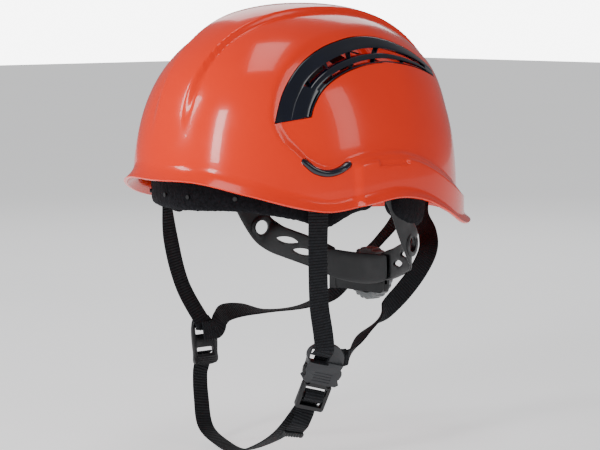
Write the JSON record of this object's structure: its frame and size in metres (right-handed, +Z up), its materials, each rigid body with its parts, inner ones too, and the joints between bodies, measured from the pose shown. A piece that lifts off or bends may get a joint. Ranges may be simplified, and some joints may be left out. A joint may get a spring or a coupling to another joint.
{
  "type": "arborist helmet",
  "caption": "Vented climbing-style work helmet with raised centre ridge, side vent grilles, padded ratchet headband and four-point webbing chin strap.",
  "frame": {"origin": "middle of the head space in plan, level with the lower part of the headband", "axes": "+Z up, the wearer looks along -Y, the wearer's left is +X"},
  "size_m": [0.2216, 0.2911, 0.3421],
  "materials": {
    "shell_orange": "gloss",
    "grille_navy": "satin",
    "black_plastic": "matte",
    "dark_plastic": "satin",
    "buckle_grey": "satin",
    "fleece": "brushed",
    "webbing": "woven",
    "cradle_web": "woven",
    "knob_grey": "satin",
    "steel": "satin"
  },
  "bodies": {
    "shell": {"shell": "shell_orange", "vent_grille_left": "grille_navy", "vent_grille_right": "grille_navy", "headband_frame": "black_plastic", "brow_pad": "fleece", "ear_pad_left": "fleece", "ear_pad_right": "fleece", "cradle_band_left": "cradle_web", "cradle_band_right": "cradle_web", "cradle_band_side": "cradle_web", "cradle_clips": "black_plastic", "crown_keeper": "black_plastic", "nape_arm_left": "dark_plastic", "nape_arm_right": "dark_plastic", "arm_pins": "dark_plastic", "front_anchors": "black_plastic", "rear_guide": "black_plastic", "front_strap_left": "webbing", "front_strap_right": "webbing", "rear_strap_left": "webbing", "rear_strap_right": "webbing", "strap_divider": "black_plastic", "buckle_socket": "buckle_grey", "chin_strap": "webbing"},
    "nape": {"ratchet_housing": "dark_plastic", "nape_pad": "dark_plastic", "ratchet_ring": "dark_plastic", "housing_screws": "steel"},
    "knob": {"knob": "knob_grey", "pinion": "dark_plastic", "knob_screw": "steel", "click_spring": "steel"},
    "rack_left": {"rack_left": "dark_plastic"},
    "rack_right": {"rack_right": "dark_plastic"},
    "buckle_plug": {"buckle_plug": "dark_plastic", "chin_tail": "webbing", "tail_tab": "black_plastic"},
    "prong_front": {"prong_front": "dark_plastic"},
    "prong_back": {"prong_back": "dark_plastic"},
    "slot_cover_left": {"slot_cover_left": "grille_navy"},
    "slot_cover_right": {"slot_cover_right": "grille_navy"}
  },
  "joints": [
    {"name": "nape_slide", "type": "slide", "parent": "shell", "child": "nape", "axis": [0, 1, 0], "range_m": [0, 0.02]},
    {"name": "knob_turn", "type": "hinge", "parent": "nape", "child": "knob", "pos_m": [0, 0.0724, -0.0705], "axis": [0, 1, 0], "range_deg": [0, 229.5]},
    {"name": "rack_left_slide", "type": "slide", "parent": "shell", "child": "rack_left", "axis": [0.7071, 0.7071, 0], "range_m": [0, 0.0284], "deforming": ["nape_arm_left"]},
    {"name": "rack_right_slide", "type": "slide", "parent": "shell", "child": "rack_right", "axis": [-0.7071, 0.7071, 0], "range_m": [0, 0.0284], "deforming": ["nape_arm_right"]},
    {"name": "plug_slide", "type": "slide", "parent": "shell", "child": "buckle_plug", "axis": [-0.3922, -0.0869, -0.9158], "range_m": [0, 0.022], "deforming": ["chin_strap"]},
    {"name": "prong_front_squeeze", "type": "hinge", "parent": "buckle_plug", "child": "prong_front", "pos_m": [0.0626, -0.05095, -0.13407], "axis": [-0.8365, 0.4477, 0.3158], "range_deg": [0, 6], "stiffness_Nm_per_rad": 0.05},
    {"name": "prong_back_squeeze", "type": "hinge", "parent": "buckle_plug", "child": "prong_back", "pos_m": [0.06902, -0.036, -0.13824], "axis": [0.8365, -0.4477, -0.3158], "range_deg": [0, 6], "stiffness_Nm_per_rad": 0.05},
    {"name": "slot_cover_left_pull", "type": "slide", "parent": "shell", "child": "slot_cover_left", "axis": [0.8503, -0.5202, 0.08], "range_m": [0, 0.008]},
    {"name": "slot_cover_right_pull", "type": "slide", "parent": "shell", "child": "slot_cover_right", "axis": [-0.8503, -0.5202, 0.08], "range_m": [0, 0.008]}
  ],
  "couplings": [
    {"joint": "knob_turn", "follows": "nape_slide", "rad_per_m": 200},
    {"joint": "rack_left_slide", "follows": "nape_slide", "ratio": 1.4142},
    {"joint": "rack_right_slide", "follows": "nape_slide", "ratio": 1.4142}
  ]
}
